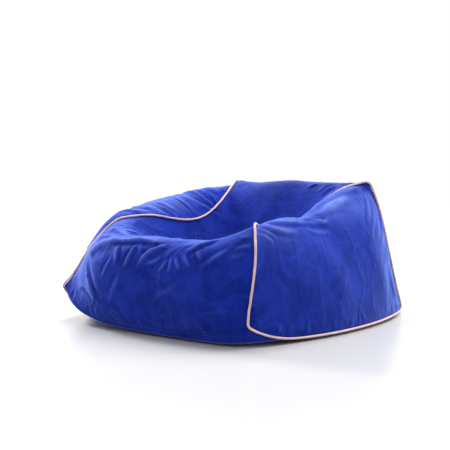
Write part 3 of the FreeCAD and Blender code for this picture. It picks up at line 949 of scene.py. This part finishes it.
def nap_and_painted_light(base, main):
    """How pale (towards 1) or dark (towards -1) the cover is painted: painted highlights on the fold ridges,
    and painted highlights and painted shade in the listed patches.
    """
    # Painted highlight on the fold ridges.
    painted_light = np.clip((main - 1.5 * MM) * 110, 0, 1) * 0.7
    uneven = 0.85 + 0.20 * Noise(8, 0.045)(base)
    for centre, reach, amount in PAINTED_LIGHT_PATCHES:
        near = np.linalg.norm((base - np.array(centre) * MM) / (np.array(reach) * MM), axis=1)
        painted_light += amount * np.exp(-near ** 2) * uneven
    return np.clip(painted_light, -1, 1)


def shaped(points, numbers):
    """The bag with rounded corners, its cover with slack, folds and gathered seams, and the painted
    highlights and shade on the cover.
    """
    faces = bag_faces(numbers)
    points = rounded_corners(points, numbers)
    base = points
    points = points + np.clip(simulated_shift(points, numbers), -SIM_MOST, SIM_MOST)
    normals = vertex_normals(points, faces)
    mask = zip_mask(base) * smoothstep(base[:, 2], 0.002, 0.028)
    gap = seam_distance(base, numbers)
    main = fold_heights(base, normals, FOLDS) * FOLD_GAIN
    main = np.where(main < 0, -DEEPEST * np.tanh(-main / DEEPEST), main)
    minor = fold_heights(base, normals, seam_gathers(base, numbers))
    minor += fold_heights(base, normals, hidden_folds(base, numbers))
    on_seam = gap < 1e-6
    sunk = np.where(on_seam, 0.0, -1.6 * MM * np.exp(-(gap / 0.011) ** 2))
    height = (relief(base, gap) + main + minor + sunk) * mask
    height[on_seam] *= 0.25
    moved = points + normals * height[:, None]
    moved[:, 2] = np.where(base[:, 2] < 0.002, base[:, 2], np.maximum(moved[:, 2], 0.0004))
    return base, moved, nap_and_painted_light(base, main)


COVER_NODES = {
    "wrap": "wrap_panel", "right": "right_side_panel", "left": "left_side_panel", "floor": "floor_panel"}
LINER_NODES = {
    "wrap": "liner_wrap", "right": "liner_right_side", "left": "liner_left_side", "floor": "liner_floor"}


def cover_pieces(points, numbers, painted_light, finish):
    for name, node in COVER_NODES.items():
        ids = numbers[name]
        faces = panel_faces(name, ids)
        outer = drawn_in(points[ids], SEAM_GAP).reshape(-1, 3)
        inner = outer - vertex_normals(outer, faces) * COVER
        inner[:, 2] = np.maximum(inner[:, 2], np.where(outer[:, 2] < COVER, COVER + outer[:, 2] * 0.2, 0.0))
        if name == "wrap":
            faces = faces[~slot_faces(outer, faces, COVER_ZIP_Z)]
        used = np.unique(faces)
        sheet, sheet_faces = solid_sheet(outer, inner, faces)
        piece = new_object(f"cover_{name}", sheet, sheet_faces)
        # The positive values are painted highlights and the negative values painted shade; each goes to its
        # own attribute.
        values = painted_light[ids].reshape(-1)[used]
        set_attribute(piece, "painted_light", np.concatenate([np.maximum(values, 0)] * 2))
        set_attribute(piece, "away", np.concatenate([np.maximum(-values, 0)] * 2))
        declare(piece, finish, [node])


def liner_depths(base, moved, normals):
    """Depth of the liner under the cover's undisturbed shape: less beside the zips."""
    depth = lerp(LINER_DEPTH, SLACK_DEPTH, zip_mask(base))
    return np.maximum(depth, dot(base - moved, normals) + UNDER_FOLD)


def inner_pieces(base, moved, numbers, liner_finish, bead_finish):
    normals = vertex_normals(base, bag_faces(numbers))
    depth = liner_depths(base, moved, normals)
    corners = np.vstack([base[numbers[name][::len(numbers[name]) - 1, ::ALONG - 1].reshape(-1)]
                         for name in ("right", "left")])
    gap = np.linalg.norm(base[:, None] - corners[None], axis=2).min(axis=1)
    middle = np.array([0.0, 0.0, 0.2])
    drawn = unit(middle - base) * (CORNER_PLAY * (1 - smoothstep(gap, 0.0, 0.07)))[:, None]
    liner = base + drawn - normals * depth[:, None]
    for name, node in LINER_NODES.items():
        ids = numbers[name][::2, ::2] if name != "wrap" else numbers[name]
        faces = panel_faces(name, ids)
        outer = drawn_in(liner[ids], SEAM_GAP).reshape(-1, 3)
        inner = outer - vertex_normals(outer, faces) * LINER
        if name == "wrap":
            faces = faces[~slot_faces(outer, faces, LINER_ZIP_Z)]
        piece = new_object(node + "_cloth", *solid_sheet(outer, inner, faces))
        declare(piece, liner_finish, [node])
    below = lerp(FILL_BELOW_ZIP, FILL_BELOW, smoothstep(box_distance(base, LINER_ZIP_BOX), 0.0, 0.03))
    fill = base + drawn - normals * (depth + below)[:, None]
    used, _, faces = coarse_bag(base, numbers)
    piece = new_object("bead_filling", fill[used], faces)
    declare(piece, bead_finish, ["bead_fill"])


def piping_pieces(points, numbers, finish, core_finish):
    own = panel_normals(points, numbers)
    for seed, name in ((21, "right"), (22, "left")):
        loop = side_loop(numbers[name])
        line = points[loop]
        side = own[name][loop]
        other = own["wrap"][loop] + own["floor"][loop]
        total = side + unit(other)
        mitre = total * 2 / np.maximum(dot(total, total), 0.4)[:, None]
        length = np.linalg.norm(mitre, axis=1, keepdims=True)
        mitre = smoothed_loop(unit(mitre) * np.clip(length, 1.0, 1.45), 4)
        centre = smoothed_loop(line + mitre * PIPING_R * PIPING_SINK, 3)
        centre[:, 2] = np.maximum(centre[:, 2], PIPING_R + 0.5 * MM)
        both, places = closed_path(np.hstack([centre, unit(mitre)]), 2.0 * MM)
        path, out = both[:, :3], both[:, 3:]
        uneven = Noise(seed, 0.02)(path)
        for label, radius, sides in (("sleeve", PIPING_R, 14), ("cord", PIPING_R - SLEEVE - 0.15 * MM, 7)):
            angle = np.linspace(0, 2 * math.pi, sides, endpoint=False)
            ribs = np.sin(places[:, None] * 2 * math.pi / (9.5 * MM) + angle[None])
            radii = radius * (1 + 0.035 * ribs + 0.03 * uneven[:, None])
            outer = rings(path, out, radii)
            faces = ring_faces(len(path), sides)
            flat = outer.reshape(-1, 3)
            if label == "sleeve":
                inside = rings(path, out, radii - SLEEVE).reshape(-1, 3)
                flat = np.vstack([flat, inside])
                faces = np.vstack([faces, faces[:, ::-1] + len(inside)])
            piece = new_object(f"{name}_piping_{label}_cloth", flat, faces)
            slot, skin = ("piping_cloth", finish) if label == "sleeve" else ("piping_core", core_finish)
            declare(piece, skin, [f"{name}_piping_{label}"])


# ------------------------------------------------------------------ zip
def zip_axes(grid, height):
    """Place and axes of a zip on the back panel, as in the CAD model."""
    back = grid[len(grid) - UP:, ACROSS // 2]
    order = back[:, 2].argsort()
    z, y = back[order, 2], back[order, 1]
    centre = np.array([0.0, np.interp(height, z, y), height])
    slope = (np.interp(height + 0.004, z, y) - np.interp(height - 0.004, z, y)) / 0.008
    up = unit(np.array([0.0, slope, 1.0]))
    out = np.array([0.0, up[2], -up[1]])
    return centre, up, out


def coil(centre, up, out, side, finish, name, node):
    """A nylon coil: one thread wound round the tape's edge."""
    thick = COIL_THREAD
    turns, steps = int(2 * ZIP_HALF / COIL_PITCH), 10
    turn = np.arange(turns * steps + 1) / steps
    angle = turn * 2 * math.pi
    x = ZIP_HALF * (2 * turn / turns - 1)
    across = side * (ROW_HALF_GAP + COIL_HALF_W + (COIL_HALF_W - thick / 2) * np.cos(angle))
    lift = COIL_HALF_H - COIL_BACK + (COIL_HALF_H - thick / 2) * np.sin(angle)
    path = centre + np.outer(x, [1, 0, 0]) + np.outer(across, up) + np.outer(lift, out)
    along = unit(np.gradient(path, axis=0))
    guide = unit(np.outer(np.cos(angle), up * side) + np.outer(np.sin(angle), out))
    guide = unit(guide - along * dot(guide, along)[:, None])
    beside = np.cross(along, guide)
    ring = [path + (guide * math.cos(a) + beside * math.sin(a)) * thick / 2
            for a in np.linspace(0, 2 * math.pi, 5, endpoint=False)]
    grid = np.stack(ring, axis=1)
    faces = ring_faces(len(path), 5, closed=False)
    caps = [range(5)[::-1], range(len(path) * 5 - 5, len(path) * 5)]
    piece = new_object(name, grid.reshape(-1, 3), [*faces, *caps])
    declare(piece, finish, [node])


def stitches(lines, out, finish, name):
    """Thread stitches along lines on the cover: each stands proud in the middle and dips at its ends."""
    points, faces = [], []
    pitch, long, thick = 3.4 * MM, 2.7 * MM, 0.32 * MM
    profile = [(0.0, 0.35, -0.5), (0.25, 0.95, 0.25), (0.5, 1.0, 0.45), (0.75, 0.95, 0.25), (1.0, 0.35, -0.5)]
    for first, last in lines:
        length = np.linalg.norm(last - first)
        way = unit(last - first)
        for start in np.arange(pitch * 0.3, length - long, pitch):
            ring_start = len(points)
            ends = [first + way * start, first + way * (start + long)]
            beside = np.cross(way, out)
            for share, fat, lift in profile:
                middle = lerp(ends[0], ends[1], share) + out * thick * lift
                for a in np.linspace(0, 2 * math.pi, 6, endpoint=False):
                    points.append(middle + (out * math.cos(a) + beside * math.sin(a)) * thick * fat)
            for r in range(len(profile) - 1):
                for k in range(6):
                    a, b = ring_start + r * 6 + k, ring_start + r * 6 + (k + 1) % 6
                    faces.append([a, b, b + 6, a + 6])
            faces.append(range(ring_start, ring_start + 6)[::-1])
            faces.append(range(len(points) - 6, len(points)))
    piece = new_object(name, np.array(points), faces)
    declare(piece, finish)


def zip_stitching(centre, up, out, finish):
    """Stitches in a rectangle round the slot."""
    across = SLOT_HALF + 3.2 * MM
    end = SLOT_END + 4.5 * MM
    lines = []
    for corners in ([(-end, across), (end, across)], [(-end, -across), (end, -across)],
                    [(-end, -across), (-end, across)], [(end, -across), (end, across)]):
        lines.append([centre + np.array([x, 0, 0]) + up * v + out * 0.1 * MM for x, v in corners])
    stitches(lines, out, finish, "cover_zip_stitching")


# ------------------------------------------------------------------ everything
def main():
    studio()
    camera()
    grids = build_grids()
    cover_zip = zip_axes(grids["wrap"], COVER_ZIP_Z)
    fit_slot(grids["wrap"], COVER_ZIP_Z)
    fit_slot(grids["wrap"], LINER_ZIP_Z)
    points, numbers = weld(grids)
    base, moved, painted_light = shaped(points, numbers)
    pink = woven("piping_cloth", (0.52, 0.34, 0.32), (0.71, 0.51, 0.485), 0.0011)
    cotton = woven("cotton_cord", (0.70, 0.68, 0.63), (0.86, 0.85, 0.81), 0.0015)
    lining = woven("liner_cloth", (0.72, 0.72, 0.70), (0.86, 0.86, 0.84), 0.0009)
    cover_pieces(moved, numbers, painted_light, suede())
    inner_pieces(base, moved, numbers, lining, bead_material())
    piping_pieces(moved, numbers, pink, cotton)
    nylon = plain("zip_nylon", (0.016, 0.026, 0.17), 0.35, 900.0)
    for side, label in ((1, "upper"), (-1, "lower")):
        name = f"cover_zip_{label}"
        coil(*cover_zip, side, nylon, f"{name}_winding", f"{name}_coil")
    zip_stitching(*cover_zip, plain("blue_thread", (0.030, 0.050, 0.30), 0.7, 2500.0))
    finishes = {
        "zip_tape": woven("zip_tape", (0.010, 0.016, 0.12), (0.020, 0.032, 0.20), 0.0008, relief=0.0002),
        "zip_coil": nylon,
        "zip_metal": plain("zip_enamel", (0.020, 0.032, 0.19), 0.28, 350.0, metallic=0.2),
        "spring_steel": plain("spring_steel", (0.62, 0.62, 0.64), 0.30, 1200.0, metallic=1.0),
    }
    slots = {part["node"]: part["material_slot"] for part in frame["record"]["subparts"]}
    for name, node in frame["nodes"].items():
        finish = finishes.get(slots[name])
        if finish is None:
            continue
        if not node.data.materials:
            node.data.materials.append(None)
        for index in range(len(node.data.materials)):
            node.data.materials[index] = finish


main()
